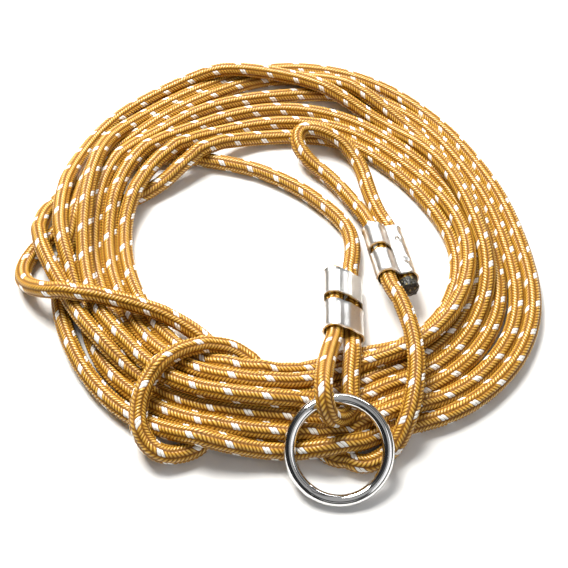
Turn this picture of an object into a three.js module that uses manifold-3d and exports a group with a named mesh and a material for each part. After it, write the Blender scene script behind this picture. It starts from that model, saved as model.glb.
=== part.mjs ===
// A coiled braided line with a steel ring held in one turned-back end and a plain eye in the other.
// Both eyes are closed by crimped duplex clamps of sheet steel. Millimetres, +Z up.
import * as THREE from 'three'
import { mergeVertices } from 'three/addons/utils/BufferGeometryUtils.js'
import Module from 'manifold-3d'

// Driving dimensions
const ROPE_DIAMETER = 8
const COIL_OUTER_RADIUS = 121
const COIL_WIDTH = 42
const COIL_SHOULDER = 6
const COIL_FRONT_HEIGHT = 7.7
const COIL_BACK_HEIGHT = 17
const COIL_LOW_SIDE_DEG = -75
const RING_INSIDE_DIAMETER = 35
const RING_WIRE_DIAMETER = 5
const CLAMP_LENGTH = 34
const SHEET_THICKNESS = 1
const SLOT_WIDTH = 3
const PRONG_HOLE_DIAMETER = 2.2
const PRONG_HOLE_PITCH = 17
const CUT_END_LENGTH = 2.5
const CUT_END_EDGE = 0.6

// Clearances and mesh fineness
const TOUCH_GAP = 0.3
const TUBE_SIDES = 10
const COIL_SEGMENTS = 72
const SHOULDER_STEPS = 4
const LOBE_SEGMENTS = 20
const RING_SECTION_SIDES = 16
const RING_SEGMENTS = 64
const HOLE_SIDES = 12
const CUTTER_MARGIN = 2

const ropeRadius = ROPE_DIAMETER / 2
const channelRadius = ropeRadius + TOUCH_GAP
const lobeRadius = channelRadius + SHEET_THICKNESS
const lobeOffset = channelRadius + SHEET_THICKNESS / 2

// Materials
const matte = (color, roughness, metalness) =>
  new THREE.MeshStandardMaterial({ color, roughness, metalness })
const braidMaterial = () => matte(0xb4721f, 0.6, 0)
const cutMaterial = () => matte(0x1d1a14, 0.7, 0)
const platedSheetMaterial = () => matte(0xb9b7b2, 0.28, 1)
const ringMaterial = () => matte(0xc4c2bd, 0.15, 1)

// Routes of the free stretches, in the coil's own frame: its centre at x = y = 0, the floor at z = 0.
// From the coil's inner side across the floor to the ring clamp
const RING_LEAD = [
  [-59.5, 47.4, 4], [-54.5, 46, 4], [-49.3, 44.6, 4], [-39.8, 42.6, 4], [-30.3, 40.6, 4],
  [-21.4, 38.2, 4], [-12.4, 34.9, 4], [-3.6, 30.2, 4], [4.6, 24.9, 4], [11.7, 19.4, 4],
  [18.1, 13.2, 4], [26, 4.4, 4], [31, -4, 4.3], [32.9, -13.2, 4.8], [32.5, -22.8, 5.3],
  [31.2, -31, 5.4], [30.96, -36.6, 5.8],
]
// Through the clamp, over the front strands, round the ring's wire and back through the clamp
const RING_EYE = [
  [30.93, -37.2, 5.87], [30.48, -54, 7.66], [30.13, -67.2, 9.06], [30.03, -71, 9.46],
  [29.9, -74.4, 10.6], [29.7, -78, 12.1], [29.3, -82.5, 12.7], [28.5, -90, 12.5],
  [27.9, -98, 12.4], [27.4, -106.4, 12.4], [24.8, -110.2, 13.3], [21.9, -112.9, 16],
  [19.4, -114.4, 19.8], [17.3, -113.7, 24.2], [16.1, -110.7, 27.6], [15.8, -106, 29.2],
  [16.4, -98, 26.8], [18, -89, 22], [20.1, -79.8, 17.4], [21.7, -74.4, 15.5],
  [22.17, -71, 14.96], [22.27, -67.2, 14.53], [22.62, -54, 13.13], [23.07, -37.2, 11.34],
  [23.13, -35, 11.11],
]
// From the plain clamp round the big open eye and back through the clamp to its cut end
const PLAIN_EYE = [
  [47.5, -41.2, 15.12], [45.36, -25, 11.9], [43.6, -11.6, 9.22], [43.1, -8, 8.6],
  [41.6, -3, 7.8], [39, 3.4, 6.9], [36, 9.2, 6], [33.2, 14.5, 5.4], [28.5, 22.4, 5],
  [23.6, 29.1, 5], [18.6, 34.4, 5.6], [14.3, 38, 7], [10.4, 42, 9], [7.6, 47, 11],
  [7.2, 52.4, 12.2], [10.2, 56.6, 12.5], [16.3, 57, 12.3], [22.6, 55.1, 11.5],
  [31.1, 50.2, 9], [35.3, 45.1, 7], [38.6, 39.2, 5.5], [40.8, 32.3, 4.8],
  [42.5, 23.9, 4.4], [44.6, 14.2, 4.4], [47.6, 4.4, 4.6], [50.4, -2, 4.9],
  [52.15, -7.4, 5.48], [52.75, -11.6, 6.3], [54.44, -24.4, 8.87], [56.62, -40.94, 12.12],
  [57.15, -45, 12.92],
]
// From the plain clamp up over the front strands and down their outer side to the floor
const EYE_LEAD = [
  [47.57, -41.8, 15.23], [48.3, -46, 16], [51.4, -54, 16.9], [53.9, -63, 17.2],
  [55.4, -71, 17.2], [56.2, -79.3, 17], [56.1, -88, 16.6], [55, -96.4, 15.8],
  [53.3, -103.9, 14.4], [51.6, -109.5, 12.6], [49.6, -114.1, 10], [47.4, -117.7, 7.2],
  [44.8, -120.7, 5.2], [41.6, -123.5, 4.2], [37.8, -125.9, 4], [33.7, -127.3, 4],
  [29.6, -127, 4], [25, -125, 4],
]
// The same end's first wrap over the coil, from its outer side to its inner side
const UPPER_WRAP = [
  [-125.3, -26, 4.2], [-124.6, -32, 6.6], [-121, -38.4, 9.9], [-115.4, -43.4, 13.2],
  [-109.2, -46.6, 15.8], [-101.2, -49.4, 16.7], [-90.3, -51.1, 16.9], [-77.9, -52.9, 16.6],
  [-65.7, -55.5, 15.8], [-56.7, -58, 14.4], [-51.5, -59.4, 12.6], [-46.6, -60.4, 10],
]
// Its second wrap, further round towards the ring
const LOWER_WRAP = [
  [-34.5, -118.3, 4.05], [-40.2, -122.4, 4.1], [-46.5, -125.1, 5], [-52, -124.6, 7.6],
  [-56.4, -121.6, 10.8], [-58.6, -116.4, 13.8], [-59.2, -110, 16], [-59.1, -103.8, 17],
  [-58.6, -98.5, 17.3], [-57.6, -92.9, 17.5], [-55.8, -87.8, 17.5], [-52.8, -83, 17.4],
  [-49.3, -78.7, 17.3], [-44.9, -75.2, 17], [-40.3, -73.2, 16.6], [-35.2, -72, 16],
  [-30.1, -71.4, 15.2], [-25, -71.2, 14], [-20.6, -71.2, 12.5], [-15, -71.4, 9.8],
]

// Where the hard pieces sit on the routes
const RING_CLAMP_SEAT = { far: [27, -37.2, 8.6], near: [26.1, -71, 12.2], across: [0.819, 0, -0.574] }
const PLAIN_CLAMP_SEAT = { far: [47.75, -8.4, 7.15], near: [52.05, -41, 13.6], across: [0.93, 0.13, -0.33] }
const WIRE_IN_EYE = new THREE.Vector3(22.2, -106.4, 19.8)

const vector = (values) => new THREE.Vector3(...values)

// A smooth curve whose steps follow the spacing of its own points, so bends are stepped finely.
class RouteCurve extends THREE.CatmullRomCurve3 {
  constructor(points) {
    super(points.map(vector), false, 'centripetal')
  }

  getUtoTmapping(u) {
    return u
  }
}

function ropeTube(name, route) {
  const section = new THREE.Shape().absarc(0, 0, ropeRadius, 0, 2 * Math.PI, false)
  const geometry = new THREE.ExtrudeGeometry(section, {
    curveSegments: TUBE_SIDES,
    steps: route.length - 1,
    extrudePath: new RouteCurve(route),
  })
  return namedMesh(name, geometry, braidMaterial())
}

function namedMesh(name, geometry, material) {
  const mesh = new THREE.Mesh(geometry, material)
  mesh.name = name
  return mesh
}

// The turns of the coil as one flat-bottomed ring, one strand deep where the ends cross it
// and two strands deep on the far side.
function coilHeight(azimuth) {
  const turned = azimuth - THREE.MathUtils.degToRad(COIL_LOW_SIDE_DEG)
  const rise = (1 - Math.cos(turned)) / 2
  return COIL_FRONT_HEIGHT + (COIL_BACK_HEIGHT - COIL_FRONT_HEIGHT) * rise
}

function coilProfile() {
  const inner = COIL_OUTER_RADIUS - COIL_WIDTH
  const points = [new THREE.Vector2(inner, 0), new THREE.Vector2(COIL_OUTER_RADIUS, 0)]
  for (let i = 1; i <= SHOULDER_STEPS; i++) {
    const turn = (i / SHOULDER_STEPS) * Math.PI / 2
    const reach = COIL_SHOULDER * (1 - Math.cos(turn))
    points.push(new THREE.Vector2(COIL_OUTER_RADIUS - reach, Math.sin(turn)))
  }
  for (let i = SHOULDER_STEPS; i >= 1; i--) {
    const turn = (i / SHOULDER_STEPS) * Math.PI / 2
    const reach = COIL_SHOULDER * (1 - Math.cos(turn))
    points.push(new THREE.Vector2(inner + reach, Math.sin(turn)))
  }
  points.push(points[0].clone())
  return points
}

function ropeCoil() {
  const geometry = new THREE.LatheGeometry(coilProfile(), COIL_SEGMENTS)
  geometry.rotateX(Math.PI / 2)
  const position = geometry.attributes.position
  for (let i = 0; i < position.count; i++) {
    const azimuth = Math.atan2(position.getY(i), position.getX(i))
    position.setZ(i, position.getZ(i) * coilHeight(azimuth))
  }
  return namedMesh('rope_coil', geometry, braidMaterial())
}

// A melted and charred end: a short plug with a rounded edge, beyond the last point of a route.
function cutEnd(name, route) {
  const end = vector(route.at(-1))
  const direction = end.clone().sub(vector(route.at(-2))).normalize()
  const points = [
    new THREE.Vector2(0, 0),
    new THREE.Vector2(ropeRadius, 0),
    new THREE.Vector2(ropeRadius, CUT_END_LENGTH - CUT_END_EDGE),
    new THREE.Vector2(ropeRadius - CUT_END_EDGE, CUT_END_LENGTH),
    new THREE.Vector2(0, CUT_END_LENGTH),
  ]
  const plug = namedMesh(name, new THREE.LatheGeometry(points, 2 * TUBE_SIDES), cutMaterial())
  plug.quaternion.setFromUnitVectors(new THREE.Vector3(0, 1, 0), direction)
  plug.position.copy(end).addScaledVector(direction, TOUCH_GAP)
  return plug
}

const wasm = await Module()
wasm.setup()

function toSolid(geometry) {
  const bare = geometry.clone()
  bare.deleteAttribute('normal')
  bare.deleteAttribute('uv')
  const merged = mergeVertices(bare, 1e-4)
  return new wasm.Manifold(new wasm.Mesh({
    numProp: 3,
    vertProperties: new Float32Array(merged.attributes.position.array),
    triVerts: new Uint32Array(merged.index.array),
  }))
}

function toGeometry(solid) {
  const mesh = solid.getMesh()
  const geometry = new THREE.BufferGeometry()
  geometry.setAttribute('position', new THREE.BufferAttribute(mesh.vertProperties, mesh.numProp))
  geometry.setIndex(new THREE.BufferAttribute(mesh.triVerts, 1))
  geometry.computeVertexNormals()
  return geometry
}

// The clamp's own frame: ropes side by side along X, their direction along Z, front along +Y.
function sleeveSection() {
  const waist = Math.acos(lobeOffset / lobeRadius)
  const section = new THREE.Shape()
  section.absarc(lobeOffset, 0, lobeRadius, -Math.PI + waist, Math.PI - waist, false)
  section.absarc(-lobeOffset, 0, lobeRadius, waist, 2 * Math.PI - waist, false)
  for (const side of [-1, 1]) {
    const channel = new THREE.Path()
    channel.absarc(side * lobeOffset, 0, channelRadius, 0, 2 * Math.PI, true)
    section.holes.push(channel)
  }
  return section
}

function slotCutter(fromX, toX, front) {
  const depth = lobeRadius + CUTTER_MARGIN
  const box = new THREE.BoxGeometry(toX - fromX, depth, SLOT_WIDTH)
  box.translate((fromX + toX) / 2, front * depth / 2, CLAMP_LENGTH / 2)
  return toSolid(box)
}

function prongHoleCutter(x, front, z) {
  const hole = new THREE.CylinderGeometry(
    PRONG_HOLE_DIAMETER / 2, PRONG_HOLE_DIAMETER / 2, lobeRadius + CUTTER_MARGIN, HOLE_SIDES)
  hole.translate(x, front * (lobeRadius + CUTTER_MARGIN) / 2, z)
  return toSolid(hole)
}

function duplexClamp(name, seat, slots, prongs) {
  const sleeve = new THREE.ExtrudeGeometry(sleeveSection(), {
    depth: CLAMP_LENGTH,
    curveSegments: LOBE_SEGMENTS,
    bevelEnabled: false,
  })
  let solid = toSolid(sleeve)
  for (const [fromX, toX, front] of slots) solid = solid.subtract(slotCutter(fromX, toX, front))
  for (const [x, front, z] of prongs) solid = solid.subtract(prongHoleCutter(x, front, z))
  const mesh = namedMesh(name, toGeometry(solid), platedSheetMaterial())
  const along = vector(seat.near).sub(vector(seat.far)).normalize()
  const across = vector(seat.across)
  across.addScaledVector(along, -across.dot(along)).normalize()
  const frontward = along.clone().cross(across)
  const middle = vector(seat.near).add(vector(seat.far)).multiplyScalar(0.5)
  mesh.quaternion.setFromRotationMatrix(new THREE.Matrix4().makeBasis(across, frontward, along))
  mesh.position.copy(middle).addScaledVector(along, -CLAMP_LENGTH / 2)
  return mesh
}

const slotEnd = lobeOffset + channelRadius
const slotOpen = lobeOffset + lobeRadius + CUTTER_MARGIN
const slotInner = SHEET_THICKNESS / 2
const prongNear = CLAMP_LENGTH / 2 + PRONG_HOLE_PITCH / 2
const prongFar = CLAMP_LENGTH / 2 - PRONG_HOLE_PITCH / 2

// Bands over both ropes in front, and a plain pierced back
function ringClamp() {
  const slots = [[-slotOpen, slotEnd, 1]]
  const prongs = [[-lobeOffset, -1, prongFar], [lobeOffset, -1, prongNear]]
  return duplexClamp('ring_clamp', RING_CLAMP_SEAT, slots, prongs)
}

// Bands over the standing rope in front, and over the tail behind
function plainClamp() {
  const slots = [[-slotOpen, -slotInner, 1], [slotInner, slotOpen, -1]]
  const prongs = [[lobeOffset, 1, prongFar], [lobeOffset, 1, prongNear]]
  return duplexClamp('plain_eye_clamp', PLAIN_CLAMP_SEAT, slots, prongs)
}

// The welded ring leans on the front strands: its wire lies in the eye, its near edge on the floor.
function steelRing() {
  const wireRadius = RING_WIRE_DIAMETER / 2
  const centreRadius = (RING_INSIDE_DIAMETER + RING_WIRE_DIAMETER) / 2
  const lean = Math.asin((WIRE_IN_EYE.z - wireRadius) / (2 * centreRadius))
  const geometry = new THREE.TorusGeometry(centreRadius, wireRadius, RING_SECTION_SIDES, RING_SEGMENTS)
  const ring = namedMesh('ring', geometry, ringMaterial())
  ring.rotation.x = lean
  const drop = new THREE.Vector3(0, -Math.cos(lean), -Math.sin(lean))
  ring.position.copy(WIRE_IN_EYE).addScaledVector(drop, centreRadius)
  return ring
}

const layout = new THREE.Group()
layout.add(
  ropeCoil(),
  ropeTube('ring_lead', RING_LEAD),
  ropeTube('ring_eye', RING_EYE),
  cutEnd('ring_eye_cut_end', RING_EYE),
  ringClamp(),
  steelRing(),
  ropeTube('plain_eye', PLAIN_EYE),
  cutEnd('plain_eye_cut_end', PLAIN_EYE),
  plainClamp(),
  ropeTube('eye_lead', EYE_LEAD),
  ropeTube('upper_wrap', UPPER_WRAP),
  ropeTube('lower_wrap', LOWER_WRAP),
)

// The origin is the middle of the whole layout's bottom.
layout.updateMatrixWorld(true)
const bounds = new THREE.Box3().setFromObject(layout, true)
const centre = bounds.getCenter(new THREE.Vector3())
layout.position.set(-centre.x, -centre.y, -bounds.min.z)

const group = new THREE.Group()
group.add(layout)
export default group
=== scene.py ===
"""A coiled braided safety line with a clamped eye at each end, one of them on a steel ring."""

import math

import bmesh
import bpy
import numpy as np
from mathutils import Matrix, Vector, noise


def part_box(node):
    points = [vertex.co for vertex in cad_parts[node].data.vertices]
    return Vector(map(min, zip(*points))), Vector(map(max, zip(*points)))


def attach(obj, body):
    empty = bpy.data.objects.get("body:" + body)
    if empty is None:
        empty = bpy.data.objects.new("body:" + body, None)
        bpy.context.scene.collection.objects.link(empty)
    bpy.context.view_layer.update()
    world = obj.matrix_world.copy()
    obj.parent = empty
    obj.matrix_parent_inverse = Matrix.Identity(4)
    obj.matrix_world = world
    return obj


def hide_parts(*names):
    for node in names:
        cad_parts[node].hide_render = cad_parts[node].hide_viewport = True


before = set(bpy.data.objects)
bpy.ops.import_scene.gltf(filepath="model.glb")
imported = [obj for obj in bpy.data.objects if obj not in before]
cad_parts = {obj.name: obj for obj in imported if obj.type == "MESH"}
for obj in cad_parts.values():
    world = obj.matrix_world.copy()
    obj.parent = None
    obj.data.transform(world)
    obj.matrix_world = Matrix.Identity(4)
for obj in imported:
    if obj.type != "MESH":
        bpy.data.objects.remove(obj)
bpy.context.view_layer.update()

MM = 0.001
ROPE_DIAMETER = 8.0
ROPE_RADIUS = ROPE_DIAMETER / 2

# ---------------------------------------------------------------- the rope's route
# Points are in millimetres from the middle of the coil, Z up from the floor.

low, high = (Vector(corner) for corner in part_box("rope_coil"))
COIL_MIDDLE = np.array([(low.x + high.x) / 2, (low.y + high.y) / 2, low.z])

RING_LEAD = [
    (-59.5, 47.4, 4), (-54.5, 46, 4), (-49.3, 44.6, 4), (-39.8, 42.6, 4), (-30.3, 40.6, 4),
    (-21.4, 38.2, 4), (-12.4, 34.9, 4), (-3.6, 30.2, 4), (4.6, 24.9, 4), (11.7, 19.4, 4),
    (18.1, 13.2, 4), (26, 4.4, 4), (31, -4, 4.3), (32.9, -13.2, 4.8), (32.5, -22.8, 5.3),
    (31.2, -31, 5.4), (30.96, -36.6, 5.8),
]
RING_EYE = [
    (30.93, -37.2, 5.87), (30.48, -54, 7.66), (30.13, -67.2, 9.06), (30.03, -71, 9.46),
    (29.9, -74.4, 10.6), (29.7, -78, 12.1), (29.3, -82.5, 12.7), (28.5, -90, 12.5),
    (27.9, -98, 12.4), (27.4, -106.4, 12.4), (24.8, -110.2, 13.3), (21.9, -112.9, 16),
    (19.4, -114.4, 19.8), (17.3, -113.7, 24.2), (16.1, -110.7, 27.6), (15.8, -106, 29.2),
    (16.4, -98, 26.8), (18, -89, 22), (20.1, -79.8, 17.4), (21.7, -74.4, 15.5),
    (22.17, -71, 14.96), (22.27, -67.2, 14.53), (22.62, -54, 13.13), (23.07, -37.2, 11.34),
    (23.13, -35, 11.11),
]
PLAIN_EYE = [
    (47.5, -41.2, 15.12), (45.36, -25, 11.9), (43.6, -11.6, 9.22), (43.1, -8, 8.6),
    (41.6, -3, 7.8), (39, 3.4, 6.9), (36, 9.2, 6), (33.2, 14.5, 5.4), (28.5, 22.4, 5),
    (23.6, 29.1, 5), (18.6, 34.4, 5.6), (14.3, 38, 7), (10.4, 42, 9), (7.6, 47, 11),
    (7.2, 52.4, 12.2), (10.2, 56.6, 12.5), (16.3, 57, 12.3), (22.6, 55.1, 11.5),
    (31.1, 50.2, 9), (35.3, 45.1, 7), (38.6, 39.2, 5.5), (40.8, 32.3, 4.8), (42.5, 23.9, 4.4),
    (44.6, 14.2, 4.4), (47.6, 4.4, 4.6), (50.4, -2, 4.9), (52.15, -7.4, 5.48),
    (52.75, -11.6, 6.3), (54.44, -24.4, 8.87), (56.62, -40.94, 12.12), (57.15, -45, 12.92),
]
EYE_LEAD = [
    (47.57, -41.8, 15.23), (48.3, -46, 16), (51.4, -54, 16.9), (53.9, -63, 17.2),
    (55.4, -71, 17.2), (56.2, -79.3, 17), (56.1, -88, 16.6), (55, -96.4, 15.8),
    (53.3, -103.9, 14.4), (51.6, -109.5, 12.6), (49.6, -114.1, 10), (47.4, -117.7, 7.2),
    (44.8, -120.7, 5.2), (41.6, -123.5, 4.2), (37.8, -125.9, 4), (33.7, -127.3, 4),
    (29.6, -127, 4), (25, -125, 4),
]
UPPER_WRAP = [
    (-125.3, -26, 4.2), (-124.6, -32, 6.6), (-121, -38.4, 9.9), (-115.4, -43.4, 13.2),
    (-109.2, -46.6, 15.8), (-101.2, -49.4, 16.7), (-90.3, -51.1, 16.9), (-77.9, -52.9, 16.6),
    (-65.7, -55.5, 15.8), (-56.7, -58, 14.4), (-51.5, -59.4, 12.6), (-46.6, -60.4, 10),
]
UNDER_TO_LOWER_WRAP = [
    (-42, -63, 8), (-36, -66, 5), (-29, -76, 4), (-25, -88, 4), (-24, -100, 4), (-26.5, -110, 4),
]
LOWER_WRAP = [
    (-34.5, -118.3, 4.05), (-40.2, -122.4, 4.1), (-46.5, -125.1, 5), (-52, -124.6, 7.6),
    (-56.4, -121.6, 10.8), (-58.6, -116.4, 13.8), (-59.2, -110, 16), (-59.1, -103.8, 17),
    (-58.6, -98.8, 17.3), (-57.6, -93.8, 17.5), (-55.4, -89.4, 17.5), (-52.2, -85.4, 17.4),
    (-48.4, -82, 17.3), (-44, -79.4, 17), (-39, -77.6, 16.6), (-33.5, -76.6, 16.1),
    (-27.8, -76.2, 15.4), (-22.2, -76.4, 14.2), (-16.8, -77.2, 12.4), (-12, -78.6, 9.8),
]
UNDER_TO_EYE_LEAD = [
    (-8.4, -81.4, 7), (-6.5, -86, 4.8), (-6, -92, 4), (-6, -99, 4), (-4, -107, 4),
    (-1, -113, 4), (9, -117.5, 4), (18, -122, 4),
]

# Each turn's reach from the coil's middle, and its layer, at every 30 degrees from the left.
TURN_REACH = [
    (119.8, 110.3, 108, 108.5, 112, 111, 96.4, 95.9, 96, 108, 99.9, 99),
    (102.5, 115.9, 126, 122.5, 126, 128.7, 110.5, 103.7, 113, 114.2, 107.2, 103.1),
    (98.1, 98, 103, 103.5, 105.5, 104.5, 91, 88, 89.8, 102, 115.3, 117),
    (107, 106, 116, 116, 121, 121.4, 105.3, 99, 101, 91.4, 92.6, 95),
    (92.6, 94, 99.5, 99.5, 99, 99.5, 93, 84, 80, 81.4, 81.4, 85.3),
    (85.9, 89, 95, 95.5, 95.5, 95, 86, 74, 73, 70.3, 71.4, 73.7),
    (79.2, 84, 89.5, 90, 90.5, 90.5, 82, 67, 63, 59.2, 62, 64.2),
]
TURN_LAYER = [
    (0.6, 1.2, 0, 0, 0, 0.4, 1, 1, 1.2, 0, 0, 1),
    (1, 0, 0, 0.4, 0, 0, 0, 0.6, 0, 0, 0, 1.6),
    (1.8, 1, 1.2, 1.2, 0.7, 1, 1, 1, 1.6, 1.5, 1.2, 0.8),
    (1.4, 0, 0, 0, 0.1, 0.4, 0.3, 0, 0, 0, 0, 1.2),
    (1.4, 0.3, 0, 0, 0, 0, 0, 0, 0, 0, 0, 1),
    (1, 1, 1.1, 1.1, 0.8, 1, 0.9, 1, 0.4, 0, 0.3, 1),
    (1, 0, 0.2, 0.2, 0, 0, 0, 0, 0, 0, 0.8, 0.9),
]
INTO_FIRST_TURN = [(147, 83, 0), (153, 93, 0), (159, 101.5, 0), (165, 107.6, 0), (172, 114, 0)]
OUT_OF_LAST_TURN = [(165, 69, 0.2), (172, 80, 0), (178, 95, 0), (184, 110, 0)]
FLAT_UNDER_RING_LEGS = (281, 293)


def on_coil(azimuth, reach, layer):
    turned = math.radians(azimuth)
    height = ROPE_RADIUS + layer * ROPE_DIAMETER
    return (reach * math.cos(turned), reach * math.sin(turned), height)


def coil_points():
    points = [on_coil(*step) for step in INTO_FIRST_TURN]
    for reaches, layers in zip(TURN_REACH, TURN_LAYER):
        for station, (reach, layer) in enumerate(zip(reaches, layers)):
            points.append(on_coil(180 + 30 * station, reach, layer))
    return points + [on_coil(*step) for step in OUT_OF_LAST_TURN]


def smooth_line(points, spacing, closeness=12):
    """A centripetal Catmull-Rom line through the points, resampled at an even spacing."""
    p = np.array(points, float)
    p = np.vstack([2 * p[0] - p[1], p, 2 * p[-1] - p[-2]])
    knots = np.concatenate([[0], np.cumsum(np.linalg.norm(np.diff(p, axis=0), axis=1) ** 0.5)])
    fine = []
    for i in range(1, len(p) - 2):
        t0, t1, t2, t3 = knots[i - 1:i + 3]
        t = np.linspace(t1, t2, closeness, endpoint=False)[:, None]
        a1 = (t1 - t) / (t1 - t0) * p[i - 1] + (t - t0) / (t1 - t0) * p[i]
        a2 = (t2 - t) / (t2 - t1) * p[i] + (t - t1) / (t2 - t1) * p[i + 1]
        a3 = (t3 - t) / (t3 - t2) * p[i + 1] + (t - t2) / (t3 - t2) * p[i + 2]
        b1 = (t2 - t) / (t2 - t0) * a1 + (t - t0) / (t2 - t0) * a2
        b2 = (t3 - t) / (t3 - t1) * a2 + (t - t1) / (t3 - t1) * a3
        fine.append((t2 - t) / (t2 - t1) * b1 + (t - t1) / (t2 - t1) * b2)
    fine = np.vstack([*fine, p[-2:-1]])
    run = np.concatenate([[0], np.cumsum(np.linalg.norm(np.diff(fine, axis=0), axis=1))])
    steps = max(2, round(run[-1] / spacing))
    at = np.linspace(0, run[-1], steps + 1)
    return np.stack([np.interp(at, run, fine[:, k]) for k in range(3)], axis=1)


NODE_SPACING = 4.0
SECTIONS = [
    ("ring_eye", RING_EYE[::-1], True),
    ("ring_lead", RING_LEAD[::-1][1:-2], True),
    ("coil", coil_points(), False),
    ("upper_wrap", UPPER_WRAP, False),
    ("under_upper", UNDER_TO_LOWER_WRAP, False),
    ("lower_wrap", LOWER_WRAP, False),
    ("under_lower", UNDER_TO_EYE_LEAD, False),
    ("eye_lead", EYE_LEAD[::-1][:-1], True),
    ("plain_eye", PLAIN_EYE, True),
]


def first_laying():
    """The whole rope as laid along the given routes: its nodes, and where each section starts on
    it.
    """
    points, owners = [], []
    for index, (_, route, _) in enumerate(SECTIONS):
        points += list(route)
        owners += [index] * len(route)
    line = smooth_line(points, NODE_SPACING)
    points = np.array(points, float)
    marks = []
    reached = 0
    for index in range(len(SECTIONS)):
        first = points[owners.index(index)]
        ahead = np.linalg.norm(line[reached:] - first, axis=1)
        near = np.flatnonzero(ahead < NODE_SPACING)
        reached += int(near[0] + np.argmin(ahead[near[0]:near[0] + 3])) if len(near) else 0
        marks.append(reached)
    return line, marks


WIRE_IN_EYE = (22.2, -106.4, 19.8)
RING_WIRE = 5.0
RING_REACH = 20.0
RING_LEAN = math.asin((WIRE_IN_EYE[2] - RING_WIRE / 2) / (2 * RING_REACH))


def ring_wire_points():
    """The ring's wire as nodes the rope can't pass through."""
    turned = np.radians(np.arange(0, 360, 12))
    uphill = (0, math.cos(RING_LEAN), math.sin(RING_LEAN))
    across = np.outer(np.cos(turned), (1, 0, 0))
    along = np.outer(np.sin(turned), uphill)
    middle = np.array(WIRE_IN_EYE) - RING_REACH * np.array(uphill)
    return middle + RING_REACH * (across + along)


SETTLE_ROUNDS = 800  # with the fall and the pull back to the lanes
FINAL_ROUNDS = 160  # without them
FALL = 0.05
SLACK_GIVE = 0.15
LANE_RECALL = 0.02
WRAP_RECALL = 0.15
BEND_EASE = ((1, 0.2), (3, 0.12))  # how far along the rope a bend is felt, and how much
FINAL_BEND_EASE = 0.15
SQUASHED_RADIUS = 3.7  # how near a turn's middle comes to what it presses on
PRESSED_RADIUS = 2.4  # the same where the rope runs beneath the turns
CLAMP_SHEET = 1.3
LIFT_OVER_UNDERS = 6.5
LIFT_REACH = 12
LIFT_FADE = 5
NEIGHBOUR_REACH = 12
ROUNDS_PER_SEARCH = 8
NODES_SELF_APART = 3
PUSH = 0.55
LONGEST_PUSH = 1.0


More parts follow.
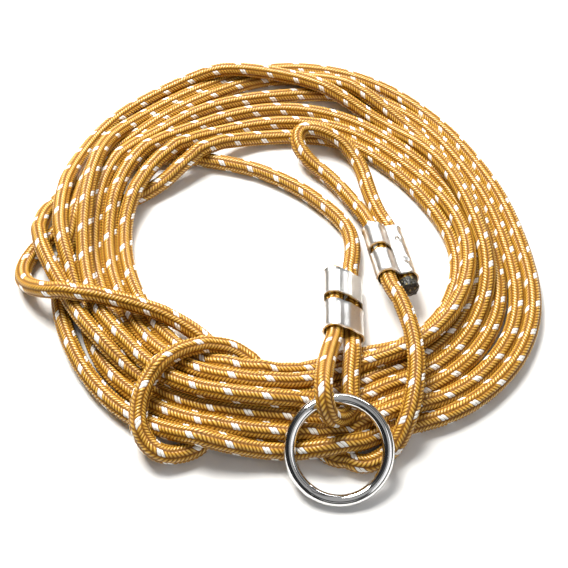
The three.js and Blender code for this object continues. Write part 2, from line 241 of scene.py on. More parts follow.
def settle(line, marks):
    """Lets the free turns fall and push each other apart until they lie as rope does."""
    count = len(line)
    held = np.zeros(count, bool)
    ends = marks[1:] + [count]
    names = [name for name, _, _ in SECTIONS]
    for (_, _, fixed), start, end in zip(SECTIONS, marks, ends):
        if fixed:
            held[start:end] = True
    held[marks[2] - 2:marks[2]] = False
    reach = np.full(count, SQUASHED_RADIUS)
    for name, start, end in zip(names, marks, ends):
        if name.startswith("under"):
            reach[start:end] = PRESSED_RADIUS
    for name, low_y, high_y in (("ring_eye", -71, -37.2), ("plain_eye", -41, -8)):
        index = names.index(name)
        part = np.arange(marks[index], ends[index])
        inside = (line[part, 1] > low_y) & (line[part, 1] < high_y)
        reach[part[inside]] = ROPE_RADIUS + CLAMP_SHEET
    wire = ring_wire_points()
    body = np.vstack([line, wire])
    reach = np.concatenate([reach, np.full(len(wire), RING_WIRE / 2)])
    held = np.concatenate([held, np.ones(len(wire), bool)])
    loose = ~held
    weight = loose.astype(float)[:, None]
    start_place = body.copy()
    rest = np.linalg.norm(np.diff(line, axis=0), axis=1)[:, None]
    recall = np.full((len(body), 1), LANE_RECALL)
    for name, start, end in zip(names, marks, ends):
        if name in ("upper_wrap", "lower_wrap"):
            recall[start:end] = WRAP_RECALL
    azimuth = np.degrees(np.arctan2(body[:, 1], body[:, 0])) % 360
    under_legs = loose & (azimuth > FLAT_UNDER_RING_LEGS[0]) & (azimuth < FLAT_UNDER_RING_LEGS[1])
    body[under_legs, 2] = np.minimum(body[under_legs, 2], ROPE_RADIUS + 0.5)
    beneath = np.zeros(len(body), bool)
    for name, start, end in zip(names, marks, ends):
        if name.startswith("under"):
            beneath[start:end] = body[start:end, 2] < ROPE_RADIUS + 1
    turns = np.arange(marks[2], marks[3])
    turns = turns[(body[turns, 0] < -14) | (body[turns, 1] > -119)]
    gap = np.linalg.norm(body[turns, None, :2] - body[None, beneath, :2], axis=2).min(axis=1)
    body[turns, 2] += LIFT_OVER_UNDERS * np.clip((LIFT_REACH - gap) / LIFT_FADE, 0, 1)
    number = np.arange(len(body))
    for k in range(SETTLE_ROUNDS + FINAL_ROUNDS):
        settling = k < SETTLE_ROUNDS
        if k % ROUNDS_PER_SEARCH == 0:
            apart = np.linalg.norm(body[:, None, :] - body[None, :, :], axis=2)
            near = apart < NEIGHBOUR_REACH
            near &= number[None, :] - number[:, None] > NODES_SELF_APART
            near &= loose[:, None] | loose[None, :]
            one, other = np.nonzero(near)
            wanted = (reach[one] + reach[other])[:, None]
            share_one = np.where(loose[one] & loose[other], 0.5, loose[one] * 1.0)[:, None]
            share_other = np.where(loose[one] & loose[other], 0.5, loose[other] * 1.0)[:, None]
        if settling:
            body[loose, 2] -= FALL
            body[:, :2] += recall * weight * (start_place[:, :2] - body[:, :2])
        rope = body[:count]
        for stride, ease in BEND_EASE:
            ease *= 1 if settling else FINAL_BEND_EASE
            inner = slice(2 * stride, -2 * stride)
            beside = rope[stride:-3 * stride] + rope[3 * stride:-stride or None]
            middle = (4 * beside - rope[:-4 * stride] - rope[4 * stride:]) / 6
            rope[inner] += ease * weight[:count][inner] * (middle - rope[inner])
        for _ in range(2):
            for parity in (0, 1):
                a, b = rope[parity:-1:2], rope[parity + 1::2]
                wa, wb = weight[parity:count - 1:2], weight[parity + 1:count:2]
                step = b - a
                length = np.linalg.norm(step, axis=1)[:, None]
                total = np.maximum(wa + wb, 1e-9)
                stretch = length - rest[parity::2]
                stretch *= np.where(stretch < 0, SLACK_GIVE, 1.0)
                move = step * stretch / length / total
                rope[parity:-1:2] += move * wa
                rope[parity + 1::2] -= move * wb
            step = body[other] - body[one]
            length = np.maximum(np.linalg.norm(step, axis=1)[:, None], 1e-6)
            push = PUSH * np.maximum(wanted - length, 0) * step / length
            shift = np.zeros_like(body)
            for axis in range(3):
                shift[:, axis] += np.bincount(other, (push * share_other)[:, axis], len(body))
                shift[:, axis] -= np.bincount(one, (push * share_one)[:, axis], len(body))
            most = np.maximum(np.linalg.norm(shift, axis=1)[:, None], 1e-9)
            body += shift * np.minimum(1, LONGEST_PUSH / most)
            body[loose, 2] = np.maximum(body[loose, 2], ROPE_RADIUS)
        body[beneath, 2] = ROPE_RADIUS
        body[held] = start_place[held]
    return body[:count]


line, marks = first_laying()
line = settle(line, marks)


# ---------------------------------------------------------------- camera, light and floor

DEGREE = math.pi / 180
AIM = Vector((COIL_MIDDLE[0], COIL_MIDDLE[1] - 20 * MM, 8 * MM))
CAMERA_DISTANCE = 0.43
CAMERA_ELEVATION = 52 * DEGREE
AIM_ABOVE_CENTRE = 34 / 568  # a share of the frame's width


def looking_at(obj, place, target):
    obj.location = place
    obj.rotation_euler = (Vector(target) - Vector(place)).to_track_quat("-Z", "Y").to_euler()
    bpy.context.collection.objects.link(obj)
    return obj


camera_data = bpy.data.cameras.new("camera")
camera_data.angle = 35 * DEGREE
camera_data.shift_y = -AIM_ABOVE_CENTRE
camera_data.clip_start = 0.01
back = Vector((0, -math.cos(CAMERA_ELEVATION), math.sin(CAMERA_ELEVATION)))
camera = looking_at(
    bpy.data.objects.new("camera", camera_data), AIM + CAMERA_DISTANCE * back, AIM)
bpy.context.scene.camera = camera


def softbox(name, place, size, power, colour=(1, 1, 1)):
    data = bpy.data.lights.new(name, "AREA")
    data.shape = "RECTANGLE"
    data.size, data.size_y = size
    data.energy = power
    data.color = colour
    looking_at(bpy.data.objects.new(name, data), place, AIM)


softbox("key_softbox", (-0.25, 0.42, 0.72), (0.46, 0.46), 17.5, (1.0, 0.98, 0.94))
softbox("fill_softbox", (0.55, -0.55, 0.6), (0.6, 0.6), 1.3, (0.97, 0.98, 1.0))
softbox("back_strip", (0.25, 0.75, 0.45), (0.9, 0.15), 3.0)

WALLS = [  # the studio's tone by how high the direction points, 0 straight down to 1 straight up
    (0.0, (0.90, 0.90, 0.90)), (0.50, (0.75, 0.75, 0.75)), (0.53, (0.02, 0.02, 0.02)),
    (0.64, (0.05, 0.045, 0.04)), (0.69, (0.95, 0.95, 0.96)), (0.77, (0.95, 0.95, 0.95)),
    (0.80, (0.03, 0.03, 0.03)), (0.86, (0.03, 0.03, 0.03)), (0.90, (1.0, 1.0, 1.0)),
]
PANELS = [  # and by how far to the side it points, 0 left to 1 right
    (0.0, (0.10, 0.10, 0.11)), (0.28, (0.16, 0.16, 0.17)), (0.38, (0.05, 0.05, 0.05)),
    (0.44, (1.0, 1.0, 1.0)), (0.60, (1.0, 1.0, 1.0)), (0.66, (0.16, 0.14, 0.15)),
    (0.74, (0.95, 0.95, 0.95)), (1.0, (0.75, 0.75, 0.74)),
]
STUDIO_STRENGTH = 0.42
bpy.context.scene.view_settings.view_transform = "Standard"


# ---------------------------------------------------------------- finishes

class Level:
    """A number that a finish works out over the surface."""

    def __init__(self, finish, socket):
        self.finish = finish
        self.socket = socket

    def __add__(self, other):
        return self.finish.maths("ADD", self, other)

    def __sub__(self, other):
        return self.finish.maths("SUBTRACT", self, other)

    def __rsub__(self, other):
        return self.finish.maths("SUBTRACT", other, self)

    def __mul__(self, other):
        return self.finish.maths("MULTIPLY", self, other)

    def __pow__(self, other):
        return self.finish.maths("POWER", self, other)

    def __mod__(self, other):
        return self.finish.maths("FLOORED_MODULO", self, other)

    def __abs__(self):
        return self.finish.maths("ABSOLUTE", self)

    def __lt__(self, other):
        return self.finish.maths("LESS_THAN", self, other)

    def whole(self):
        return self.finish.maths("FLOOR", self)

    def part(self):
        return self.finish.maths("FRACT", self)

    def wave(self):
        return self.finish.maths("COSINE", self)

    __radd__ = __add__
    __rmul__ = __mul__


class Nodes:
    """A node tree, and the one way that nodes are added to it."""

    def __init__(self, tree):
        self.tree = tree

    def node(self, kind, settings=None, inputs=None):
        made = self.tree.nodes.new(kind)
        for key, value in (settings or {}).items():
            if key == "stops":
                ramp = made.color_ramp
                while len(ramp.elements) < len(value):
                    ramp.elements.new(0.5)
                for element, (at, colour) in zip(ramp.elements, value):
                    element.position = at
                    element.color = (*colour, 1)
            else:
                setattr(made, key, value)
        for key, value in (inputs or {}).items():
            self.join(made.inputs[key], value)
        return made

    def join(self, socket, value):
        if isinstance(value, Level):
            value = value.socket
        if isinstance(value, bpy.types.NodeSocket):
            self.tree.links.new(value, socket)
        elif isinstance(value, tuple) and socket.type == "RGBA":
            socket.default_value = (*value, 1)
        else:
            socket.default_value = value


class Finish(Nodes):
    """One procedural material and the nodes that make it."""

    def __init__(self, name):
        self.material = bpy.data.materials.new(name)
        self.material.use_nodes = True
        super().__init__(self.material.node_tree)
        self.tree.nodes.clear()
        self.shader = self.node("ShaderNodeBsdfPrincipled")
        self.node("ShaderNodeOutputMaterial", {}, {"Surface": self.shader.outputs[0]})

    def maths(self, operation, *values):
        made = self.node("ShaderNodeMath", {"operation": operation}, dict(enumerate(values)))
        return Level(self, made.outputs[0])

    def mix(self, amount, first, second):
        made = self.node("ShaderNodeMix", {"data_type": "RGBA"}, {0: amount, 6: first, 7: second})
        return made.outputs[2]

    def blotches(self, scale, detail=2.0, roughness=0.5, stretch=None):
        """Noise over the piece's own place, 0 to 1, its size set by scale per metre."""
        place = self.node("ShaderNodeTexCoord").outputs["Object"]
        if stretch:
            mapping = {"Vector": place, "Scale": stretch}
            place = self.node("ShaderNodeMapping", {}, mapping).outputs[0]
        made = self.node("ShaderNodeTexNoise", {}, {
            "Vector": place, "Scale": scale, "Detail": detail, "Roughness": roughness})
        return Level(self, made.outputs[0])

    def from_to(self, value, low, high, to_low=0.0, to_high=1.0):
        made = self.node("ShaderNodeMapRange", {}, {
            0: value, 1: low, 2: high, 3: to_low, 4: to_high})
        return Level(self, made.outputs[0])

    def bump(self, height, distance, strength=1.0):
        made = self.node("ShaderNodeBump", {}, {
            "Height": height, "Distance": distance, "Strength": strength})
        self.set(Normal=made.outputs[0])

    def set(self, **values):
        for name, value in values.items():
            self.join(self.shader.inputs[name.replace("_", " ")], value)
        return self


COLUMNS = 8
LAY_LENGTH = 15.6
PICKS_PER_LAY = 10


def braid_finish():
    """Golden braid: eight columns of slanting picks, with two white yarns among the golden yarns;
    painted shade darkens the valleys between picks and a painted highlight lights each pick's
    crest.
    """
    braid = Finish("golden_braid")
    uv = braid.node("ShaderNodeUVMap", {"uv_map": "lay"}).outputs[0]
    parts = braid.node("ShaderNodeSeparateXYZ", {}, {0: uv}).outputs
    around, along = Level(braid, parts[0]), Level(braid, parts[1])
    column = (around * COLUMNS).whole()
    leaning = column % 2.0
    slant = leaning * 2.0 - 1.0
    phase = along * PICKS_PER_LAY + around * slant * PICKS_PER_LAY
    yarn = phase.whole() % float(PICKS_PER_LAY)
    off_pick = abs(phase.part() - 0.5) * 2.0
    off_column = abs((around * COLUMNS).part() - 0.5) * 2.0
    crest = (1.0 - off_pick ** 2.0) * (1.0 - off_column ** 2.5)
    seed = braid.node("ShaderNodeCombineXYZ", {}, {0: column, 1: phase.whole(), 2: 0.5}).outputs[0]
    chance = braid.node("ShaderNodeTexWhiteNoise", {"noise_dimensions": "3D"}, {"Vector": seed})
    pick_tone = Level(braid, chance.outputs[0])
    handled = braid.blotches(60.0, 3.0)
    white = (yarn < 2.0) * (leaning < 0.5)
    # painted shade: the colour goes dark from each pick's crest down into the valleys between
    # picks
    brown_with_painted_shade = braid.mix(braid.from_to(crest, 0.0, 0.75), (0.065, 0.021, 0.001), (0.50, 0.215, 0.006))
    # painted highlight: a bright gold-cream glint painted on the crest of every pick
    gold = braid.mix(braid.from_to(crest, 0.55, 1.0, 0.0, 0.85), brown_with_painted_shade, (1.0, 0.68, 0.13))
    tinted = braid.mix(pick_tone * 0.3 + handled * 0.2, gold, (0.40, 0.155, 0.004))
    # the white picks get painted shade too: dark brown in the gaps at their edges, near-white on
    # their crests
    white_with_painted_shade = braid.mix(braid.from_to(crest, 0.05, 0.3), (0.26, 0.11, 0.02), (0.98, 0.95, 0.88))
    fibres = ((phase.part() * 6.2832 * 5.0).wave() + 1.0) * 0.5
    braid.set(Base_Color=braid.mix(white, tinted, white_with_painted_shade))
    braid.set(Roughness=braid.from_to(crest, 0.0, 1.0, 0.6, 0.3))
    braid.set(Coat_Weight=braid.from_to(crest, 0.45, 0.9, 0.0, 1.0), Coat_Roughness=0.2)
    braid.set(Specular_IOR_Level=0.3)
    braid.bump(fibres * 0.35 + crest * 0.65, 0.00018, 0.7)
    return braid.material


def burnt_finish():
    """A rope end sealed in a flame: black beads over a few yarns that stayed gold."""
    burnt = Finish("burnt_braid_end")
    beads = burnt.node("ShaderNodeTexVoronoi", {}, {
        "Vector": burnt.node("ShaderNodeTexCoord").outputs["Object"], "Scale": 900.0})
    bead = Level(burnt, beads.outputs[0])
    spared = burnt.blotches(650.0, 4.0, 0.6)
    char = burnt.mix(burnt.from_to(bead, 0.1, 0.7), (0.035, 0.033, 0.022), (0.006, 0.006, 0.004))
    yarn = burnt.mix(burnt.from_to(spared, 0.60, 0.68), char, (0.42, 0.33, 0.12))
    burnt.set(Base_Color=yarn, Roughness=burnt.from_to(spared, 0.3, 0.7, 0.25, 0.6))
    burnt.bump(bead, 0.0005, 0.8)
    return burnt.material


def sealed_finish():
    """Cut yarns sealed together, still golden."""
    sealed = Finish("sealed_braid_end")
    yarns = sealed.blotches(900.0, 3.0, 0.6)
    sealed.set(
        Base_Color=sealed.mix(
            sealed.from_to(yarns, 0.35, 0.65), (0.30, 0.11, 0.012), (0.72, 0.42, 0.10)),
        Roughness=sealed.from_to(yarns, 0.3, 0.7, 0.35, 0.6))
    sealed.bump(yarns, 0.0004, 0.8)
    return sealed.material


def plated_finish():
    """Bright plated sheet with fine rolling marks and small scuffs."""
    plated = Finish("plated_sheet")
    marks = plated.blotches(1.0, 4.0, 0.6, (900.0, 900.0, 60.0))
    scuffs = plated.blotches(240.0, 6.0, 0.65)
    scuffed = plated.from_to(scuffs, 0.56, 0.64)
    plated.set(
        Metallic=1.0,
        Base_Color=plated.mix(scuffed * 0.3, (0.86, 0.85, 0.83), (0.60, 0.58, 0.56)),
        Roughness=plated.from_to(marks, 0.3, 0.7, 0.28, 0.34) + scuffed * 0.05,
    )
    return plated.material


def polished_finish():
    """Polished steel wire with light handling marks."""
    polished = Finish("polished_ring_wire")
    haze = polished.blotches(110.0, 5.0, 0.6)
    nicks = polished.blotches(1500.0, 2.0, 0.5)
    nicked = polished.from_to(nicks, 0.70, 0.74)
    polished.set(
        Metallic=1.0,
        Base_Color=polished.mix(nicked * 0.6, (0.78, 0.77, 0.76), (0.35, 0.34, 0.33)),
        Roughness=polished.from_to(haze, 0.35, 0.7, 0.05, 0.16) + nicked * 0.2,
    )
    polished.bump(haze * 0.3 + nicks * 0.1, 0.0002, 0.25)
    return polished.material


BRAID = braid_finish()
BURNT = burnt_finish()
SEALED = sealed_finish()
PLATED = plated_finish()
POLISHED = polished_finish()


def floor_finish():
    paper = Finish("pale_paper")
    cloud = paper.blotches(3.0, 3.0)
    paper.set(Base_Color=paper.mix(cloud, (0.93, 0.93, 0.92), (0.96, 0.96, 0.955)), Roughness=0.9)
    return paper.material


# ---------------------------------------------------------------- making and placing pieces

MOST_ROUNDED_CORNERS = 8  # a face with more corners than this is a flat cap


def piece(name, shape, finish, body, stands_for=()):
    """Turns a bmesh in millimetres from the coil's middle into a finished piece of the line."""
    mesh = bpy.data.meshes.new(name)
    if isinstance(shape, bmesh.types.BMesh):
        shape.to_mesh(mesh)
        shape.free()
    else:
        mesh = shape
    count = len(mesh.vertices)
    places = np.empty(count * 3)
    mesh.vertices.foreach_get("co", places)
    places = places.reshape(-1, 3) * MM + COIL_MIDDLE
    mesh.vertices.foreach_set("co", places.ravel())
    mesh.polygons.foreach_set(
        "use_smooth", [len(face.vertices) <= MOST_ROUNDED_CORNERS for face in mesh.polygons])
    mesh.update()
    made = bpy.data.objects.new(name, mesh)
    bpy.context.collection.objects.link(made)
    mesh.materials.clear()
    mesh.materials.append(finish)
    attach(made, body)
    if stands_for:
        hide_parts(*stands_for)
    return made


# ---------------------------------------------------------------- the rope as a mesh

SIDES = 48
RINGS_PER_PICK = 4
PICK_LENGTH = LAY_LENGTH / PICKS_PER_LAY
RING_STEP = PICK_LENGTH / RINGS_PER_PICK
PICK_DEPTH = 0.55
BAKE_ROWS = 6  # strips that a stretch is laid out in on its bake sheet


def pick_height(around, along):
    """How proud the braid stands, 0 to 1: lens-shaped picks leaning both ways by turns."""
    column = np.floor(around * COLUMNS + 1e-6)
    slant = 2 * (column % 2) - 1
    phase = along * PICKS_PER_LAY + around * slant * PICKS_PER_LAY
    off_pick = np.abs(phase - np.floor(phase) - 0.5) * 2
    off_column = np.abs(around * COLUMNS - column - 0.5) * 2
    return (1 - off_pick ** 2.4) * (1 - 0.85 * off_column ** 2.6)


def frames_along(line):
    """Tangent, side and up at each point, turned as little as possible from one to the next."""
    tangent = np.gradient(line, axis=0)
    tangent /= np.linalg.norm(tangent, axis=1)[:, None]
    side = np.empty_like(line)
    side[0] = np.cross(tangent[0], (0, 0, 1))
    side[0] /= np.linalg.norm(side[0])
    for i in range(1, len(line)):
        turned = side[i - 1] - tangent[i] * np.dot(side[i - 1], tangent[i])
        side[i] = turned / math.sqrt(np.dot(turned, turned))
    return tangent, side, np.cross(tangent, side)


def braided_tube(first, last):
    """One stretch of the rope as a closed bmesh, from ring first to ring last."""
    rings = last - first
    shape = bmesh.new()
    bmesh.ops.create_grid(shape, x_segments=SIDES, y_segments=rings, size=1)
    mesh = bpy.data.meshes.new("stretch")
    shape.to_mesh(mesh)
    shape.free()
    flat = np.empty(len(mesh.vertices) * 3)
    mesh.vertices.foreach_get("co", flat)
    flat = flat.reshape(-1, 3)
    sides = round(len(np.unique(np.round(flat[:, 0], 5)))) - 1
    around = np.round((flat[:, 0] + 1) / 2 * sides) / sides
    ring = np.round((flat[:, 1] + 1) / 2 * rings).astype(int)
    along = (first + ring) * RING_STEP / LAY_LENGTH
    reach = ROPE_RADIUS - PICK_DEPTH * (1 - pick_height(around % 1.0, along))
    turned = 2 * math.pi * around
    at = first + ring
    outward = np.cos(turned)[:, None] * SIDE[at] + np.sin(turned)[:, None] * UP[at]
    places = ROPE_LINE[at] + reach[:, None] * outward
    mesh.vertices.foreach_set("co", places.ravel())
    corner = np.empty(len(mesh.loops), int)
    mesh.loops.foreach_get("vertex_index", corner)
    lay = mesh.uv_layers.new(name="lay")
    lay.data.foreach_set("uv", np.stack([around[corner], along[corner]], axis=1).ravel())
    share = ring[corner] / rings
    face_low = share.reshape(-1, 4).min(axis=1)
    row = np.repeat(np.minimum(np.floor(face_low * BAKE_ROWS + 1e-6), BAKE_ROWS - 1), 4)
    sheet = mesh.uv_layers.new(name="OFBake")
    across = 0.01 + 0.98 * (share * BAKE_ROWS - row)
    sheet.data.foreach_set("uv", np.stack(
        [across, (row + 0.04 + 0.92 * around[corner]) / BAKE_ROWS], axis=1).ravel())
    shape = bmesh.new()
    shape.from_mesh(mesh)
    shape.verts.ensure_lookup_table()
    seam = [shape.verts[i] for i in np.flatnonzero((around < 1e-6) | (around > 1 - 1e-6))]
    bmesh.ops.remove_doubles(shape, verts=seam, dist=1e-4)
    rims = [e for e in shape.edges if e.is_boundary]
    caps = bmesh.ops.holes_fill(shape, edges=rims, sides=0)["faces"]
    for cap in caps:
        for edge in cap.edges:
            edge.smooth = False
    if shape.calc_volume(signed=True) < 0:
        bmesh.ops.reverse_faces(shape, faces=shape.faces)
    shape.to_mesh(mesh)
    shape.free()
    return mesh


def rope_stretch(name, first, last, stands_for):
    """A stretch of the rope as a braided piece of the line."""
    made = piece(name, braided_tube(first, last), BRAID, "line", stands_for)


def ring_of(node_number):
    """The mesh ring nearest to a node of the settled rope."""
    return int(round(run[node_number] / RING_STEP))


run = np.concatenate([[0], np.cumsum(np.linalg.norm(np.diff(line, axis=0), axis=1))])
ROPE_LINE = smooth_line(line, RING_STEP, 16)
TANGENT, SIDE, UP = frames_along(ROPE_LINE)
last_ring = len(ROPE_LINE) - 1
run = run * (last_ring * RING_STEP / run[-1])

CUT_AZIMUTH = 222  # where one turn's stretch is said to end and the next to start
COIL_START_AZIMUTH = 147
coil_nodes = line[marks[2]:marks[3]]
swept = np.degrees(np.unwrap(np.arctan2(coil_nodes[:, 1], coil_nodes[:, 0])))
swept += 360 * round((COIL_START_AZIMUTH - swept[0]) / 360)
cuts = []
for turn in range(len(TURN_REACH)):
    passed = np.flatnonzero(swept >= CUT_AZIMUTH + 360 * turn)
    if len(passed):
        cuts.append(marks[2] + int(passed[0]))

stretches = [("braid_ring_eye", 0, marks[1], ("ring_eye",))]
stretches.append(("braid_ring_lead", marks[1], cuts[0], ("ring_lead",)))
coil_ends = cuts + [marks[3]]
for turn, (start, end) in enumerate(zip(coil_ends, coil_ends[1:])):
    stands_for = ("rope_coil",) if turn == 0 else ()
    stretches.append((f"braid_coil_turn_{turn + 1}", start, end, stands_for))
stretches += [
    ("braid_upper_wrap", marks[3], marks[4], ("upper_wrap",)),
    ("braid_under_upper_wrap", marks[4], marks[5], ()),
    ("braid_lower_wrap", marks[5], marks[6], ("lower_wrap",)),
    ("braid_under_lower_wrap", marks[6], marks[7], ()),
    ("braid_eye_lead", marks[7], marks[8], ("eye_lead",)),
    ("braid_plain_eye", marks[8], len(line) - 1, ("plain_eye",)),
]
for name, start, end, stands_for in stretches:
    lay = "coiled" if "coil" in name else "loose"
    rope_stretch(name, ring_of(start), min(ring_of(end), last_ring), stands_for)


# ---------------------------------------------------------------- the ring

RING_MIDDLE = Vector(WIRE_IN_EYE) - RING_REACH * Vector(
    (0, math.cos(RING_LEAN), math.sin(RING_LEAN)))
WELD_AZIMUTH = -2.2
WELD_HALF_WIDTH = 0.07
WELD_BEAD = 0.05
WIRE_SIDES = 40
RING_STEPS = 180


def steel_ring():
    shape = bmesh.new()
    section = bmesh.ops.create_circle(shape, segments=WIRE_SIDES, radius=RING_WIRE / 2)["verts"]
    upright = Matrix.Rotation(math.pi / 2, 4, "X")
    onto_ring = Matrix.Translation((RING_REACH, 0, 0)) @ upright
    bmesh.ops.transform(shape, matrix=onto_ring, verts=section)
    bmesh.ops.spin(
        shape, geom=shape.verts[:] + shape.edges[:], cent=(0, 0, 0), axis=(0, 0, 1),
        angle=2 * math.pi, steps=RING_STEPS, use_merge=True)
    bmesh.ops.recalc_face_normals(shape, faces=shape.faces)
    for vertex in shape.verts:
        turned = math.atan2(vertex.co.y, vertex.co.x)
        away = (turned - WELD_AZIMUTH) / WELD_HALF_WIDTH
        bead = WELD_BEAD * math.exp(-away ** 2)
        heart = Vector((math.cos(turned), math.sin(turned), 0)) * RING_REACH
        vertex.co = heart + (vertex.co - heart) * (1 + bead)
    place = Matrix.Translation(RING_MIDDLE) @ Matrix.Rotation(RING_LEAN, 4, "X")
    bmesh.ops.transform(shape, matrix=place, verts=shape.verts)
    return shape


piece("welded_ring", steel_ring(), POLISHED, "ring", ("ring",))


# ---------------------------------------------------------------- the clamps
# In a clamp's own frame the two ropes lie side by side along X and run along Z; front is +Y.

CLAMP_LENGTH = 34.0
MIDDLE = CLAMP_LENGTH / 2
SHEET = 0.75
LOBE_OFFSET = 4.8
LOBE_RADIUS = 5.3
SLOT_WIDTH = 4.2
LIP_FLARE = 0.28

CLAMP_ROWS = (  # where the sheet's rows lie along the clamp, closer at its ends and its slot
    0, 0.3, 0.7, 1.2, 2, 3, 4, 5, 6, 7, 7.7, 8.4, 9.1, 9.8, 10.5, 11.2, 12, 12.8, 13.5, 14,
    14.5, 14.9, 16, 17, 18, 19.1, 19.5, 20, 20.8, 21.6, 22.4, 23.2, 23.9, 24.6, 25.3, 26, 26.8,
    27.6, 28.6, 29.6, 30.6, 31.6, 32.4, 33, 33.4, 33.7, 34,
)
RING_CLAMP_SEAT = ((27, -37.2, 8.6), (26.1, -71, 12.2), (0.819, 0, -0.574))
PLAIN_CLAMP_SEAT = ((47.75, -8.4, 7.15), (52.05, -41, 13.6), (0.93, 0.13, -0.33))


def clamp_place(seat):
    far, near, across = (Vector(v) for v in seat)
    along = (near - far).normalized()
    across = (across - along * across.dot(along)).normalized()
    front = along.cross(across)
    place = Matrix((across, front, along)).transposed().to_4x4()
    place.translation = (near + far) / 2 - along * CLAMP_LENGTH / 2  # from the far end
    return place


ARC_STEPS = 28
BRIDGE_STEPS = 14


def sleeve_outline(front_dip, back_dip):
    """The sheet's outer line round both ropes, from the right-hand lobe to the front."""
    def arc(middle, start):
        for step in range(ARC_STEPS):
            turned = start + math.pi * step / ARC_STEPS
            yield middle + LOBE_RADIUS * math.cos(turned), LOBE_RADIUS * math.sin(turned)

    def bridge(side, dip):
        for step in range(BRIDGE_STEPS):
            x = side * LOBE_OFFSET * (1 - 2 * step / BRIDGE_STEPS)
            yield x, side * (LOBE_RADIUS - dip * math.cos(math.pi * x / 2 / LOBE_OFFSET) ** 2)

    return [
        *arc(LOBE_OFFSET, -math.pi / 2), *bridge(1, front_dip),
        *arc(-LOBE_OFFSET, math.pi / 2), *bridge(-1, back_dip),
    ]


def bell(value, middle, width):
    return math.exp(-((value - middle) / width) ** 2)


def rolled_sheet(front_dip, back_dip, slot_side, dimples):
    """The sleeve's outer skin, flared at its ends and slot, dented where it was pressed."""
    shape = bmesh.new()
    rim = [shape.verts.new((x, y, 0)) for x, y in sleeve_outline(front_dip, back_dip)]
    edges = [shape.edges.new((rim[i - 1], rim[i])) for i in range(len(rim))]
    level = 0
    for row in CLAMP_ROWS[1:]:
        grown = bmesh.ops.extrude_edge_only(shape, edges=edges)["geom"]
        edges = [e for e in grown if isinstance(e, bmesh.types.BMEdge)]
        new = [v for v in grown if isinstance(v, bmesh.types.BMVert)]
        bmesh.ops.translate(shape, verts=new, vec=(0, 0, row - level))
        level = row
    for vertex in shape.verts:
        x, y, z = vertex.co
        heart = Vector((LOBE_OFFSET if x > 0 else -LOBE_OFFSET, 0, z))
        out = (vertex.co - heart).normalized()
        flare = LIP_FLARE * (bell(z, 0, 0.7) + bell(z, CLAMP_LENGTH, 0.7))
        if slot_side(x, y):
            edge = SLOT_WIDTH / 2
            flare += 0.25 * (bell(z, MIDDLE - edge, 0.5) + bell(z, MIDDLE + edge, 0.5))
        flare -= sum(deep * math.exp(-((x - dx) ** 2 + (z - dz) ** 2) / wide ** 2)
                     for dx, dz, deep, wide in dimples if y > 0)
        ripple = 0.02 * math.sin(0.6 * z + 0.4 * x)
        vertex.co += out * (flare + ripple)
    bmesh.ops.recalc_face_normals(shape, faces=shape.faces)
    return shape


def cutter(kind, place, size):
    """A rounded slot's or a pressed hole's tool; a hole's size is radius, depth, oval."""
    shape = bmesh.new()
    if kind == "slot":
        bmesh.ops.create_cube(shape, size=1)
        upright = [e for e in shape.edges if abs(e.verts[0].co.y - e.verts[1].co.y) > 0.5]
        bmesh.ops.scale(shape, verts=shape.verts, vec=size)
        bmesh.ops.bevel(
            shape, geom=upright, offset=SLOT_WIDTH * 0.42, segments=6, profile=0.5, affect="EDGES",
            material=-1)
    else:
        bmesh.ops.create_cone(
            shape, cap_ends=True, segments=28, radius1=size[0], radius2=size[0], depth=size[1])
        bmesh.ops.rotate(shape, verts=shape.verts, matrix=Matrix.Rotation(math.pi / 2, 3, "X"))
        bmesh.ops.scale(shape, verts=shape.verts, vec=(1, 1, size[2]))
    bmesh.ops.translate(shape, verts=shape.verts, vec=place)
    mesh = bpy.data.meshes.new("cutter")
    shape.to_mesh(mesh)
    shape.free()
    return bpy.data.objects.new("cutter", mesh)


def finished_sheet(skin, cutters):
    """Gives the skin its thickness, cuts it and rounds its edges."""
    mesh = bpy.data.meshes.new("skin")
    skin.to_mesh(mesh)
    skin.free()
    made = bpy.data.objects.new("skin", mesh)
    bpy.context.collection.objects.link(made)
    wall = made.modifiers.new("wall", "SOLIDIFY")
    wall.thickness = SHEET
    wall.offset = -1
    wall.use_even_offset = True
    for tool in cutters:
        bpy.context.collection.objects.link(tool)
        cut = made.modifiers.new("cut", "BOOLEAN")
        cut.operation = "DIFFERENCE"
        cut.solver = "EXACT"
        cut.object = tool
    edge = made.modifiers.new("edge", "BEVEL")
    edge.width = 0.15
    edge.segments = 2
    edge.limit_method = "ANGLE"
    edge.angle_limit = 50 * DEGREE
    shape = bmesh.new()
    shape.from_object(made, bpy.context.evaluated_depsgraph_get())
    for tool in [made, *cutters]:
        bpy.data.objects.remove(tool)
    return shape


SHARPEST_ROUNDED_FOLD = 17 * DEGREE


def clamp(name, seat, outline, slot_side, dimples, cutters, stands_for):
    shape = finished_sheet(rolled_sheet(*outline, slot_side, dimples), cutters)
    bmesh.ops.transform(shape, matrix=clamp_place(seat), verts=shape.verts)
    for edge in shape.edges:
        if len(edge.link_faces) == 2 and edge.calc_face_angle() > SHARPEST_ROUNDED_FOLD:
            edge.smooth = False
    piece(name, shape, PLATED, "line", stands_for)


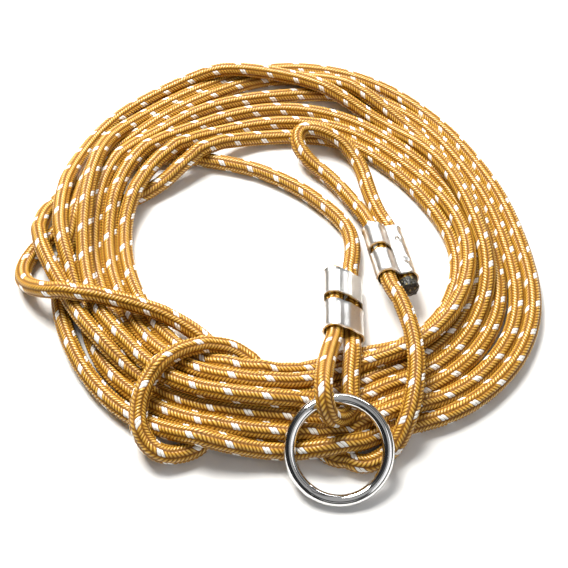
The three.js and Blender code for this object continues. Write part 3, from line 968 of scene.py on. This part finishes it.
SLOT_DEPTH = 9.0
clamp(
    "pressed_ring_clamp", RING_CLAMP_SEAT, (-0.5, 3.2), lambda x, y: y > -1,
    [],
    [
        cutter("slot", (-2.2, SLOT_DEPTH / 2 - 1.0, MIDDLE), (22.0, SLOT_DEPTH, SLOT_WIDTH)),
        cutter("hole", (-LOBE_OFFSET, -6, MIDDLE - 8.5), (1.1, 6, 1)),
        cutter("hole", (LOBE_OFFSET, -6, MIDDLE + 8.5), (1.1, 6, 1)),
    ],
    ("ring_clamp",))
clamp(
    "pressed_plain_eye_clamp", PLAIN_CLAMP_SEAT, (1.7, 3.0), lambda x, y: x < 0 < y or y < 0 < x,
    [(4.0, 9.2, 0.7, 1.8), (LOBE_OFFSET, 24.8, 0.8, 1.6), (LOBE_OFFSET + 1, 31.5, -0.3, 2.5)],
    [
        cutter("slot", (-7.0, SLOT_DEPTH / 2 - 1.0, MIDDLE), (13.0, SLOT_DEPTH, SLOT_WIDTH)),
        cutter("slot", (7.4, -SLOT_DEPTH / 2 + 2.2, MIDDLE), (11.0, SLOT_DEPTH, SLOT_WIDTH)),
        cutter("hole", (4.0, 5, 9.2), (1.15, 6, 1.25)),
        cutter("hole", (LOBE_OFFSET + 0.4, 5, 25.2), (0.45, 6, 1.0)),
    ],
    ("plain_eye_clamp",))


# ---------------------------------------------------------------- the rope's two cut ends

def sealed_end(route, reach, length, lump, back=0.0):
    """A melted knob on the last point of a route."""
    end, before = Vector(route[-1]), Vector(route[-2])
    direction = (end - before).normalized()
    end -= direction * back
    shape = bmesh.new()
    bmesh.ops.create_uvsphere(shape, u_segments=48, v_segments=32, radius=1)
    for vertex in shape.verts:
        way = vertex.co.copy()
        wobble = noise.noise(way * 2.3) * lump + noise.noise(way * 7.0) * lump * 0.45
        squared = (abs(way.z) ** 0.6) * (1 if way.z > 0 else -1)
        wide = (1 - abs(way.z) ** 5) ** 0.5 / max((1 - way.z ** 2) ** 0.5, 1e-4)
        vertex.co = Vector((way.x * wide * reach, way.y * wide * reach, squared * length))
        vertex.co *= 1 + wobble
    turn = direction.to_track_quat("Z", "Y").to_matrix().to_4x4()
    bmesh.ops.transform(shape, matrix=Matrix.Translation(end) @ turn, verts=shape.verts)
    bmesh.ops.recalc_face_normals(shape, faces=shape.faces)
    return shape


piece(
    "burnt_plain_eye_end", sealed_end(PLAIN_EYE, 4.1, 3.6, 0.10, 0.6), BURNT, "line",
    ("plain_eye_cut_end",))
piece(
    "sealed_ring_eye_end", sealed_end(RING_EYE, 3.7, 0.9, 0.05), SEALED, "line",
    ("ring_eye_cut_end",))


# ---------------------------------------------------------------- the studio

floor_shape = bmesh.new()
bmesh.ops.create_grid(floor_shape, x_segments=1, y_segments=1, size=3)
floor_mesh = bpy.data.meshes.new("floor")
floor_shape.to_mesh(floor_mesh)
floor_shape.free()
floor_mesh.materials.append(floor_finish())
floor = bpy.data.objects.new("floor", floor_mesh)
bpy.context.collection.objects.link(floor)


def studio_walls():
    """The two sets of tones, one multiplied by the other, as what the metal mirrors."""
    world = bpy.data.worlds.new("studio")
    bpy.context.scene.world = world
    world.use_nodes = True
    studio = Nodes(world.node_tree)
    direction = studio.node("ShaderNodeTexCoord").outputs["Generated"]
    parts = studio.node("ShaderNodeSeparateXYZ", {}, {0: direction}).outputs
    tones = []
    for axis, stops in ((2, WALLS), (0, PANELS)):
        share = studio.node("ShaderNodeMapRange", {}, {0: parts[axis], 1: -1}).outputs[0]
        tones.append(studio.node("ShaderNodeValToRGB", {"stops": stops}, {0: share}).outputs[0])
    both = studio.node("ShaderNodeMix", {"data_type": "RGBA", "blend_type": "MULTIPLY"}, {
        0: 1, 6: tones[0], 7: tones[1]})
    background = studio.tree.nodes["Background"]
    studio.join(background.inputs[0], both.outputs[2])
    studio.join(background.inputs[1], STUDIO_STRENGTH)


studio_walls()
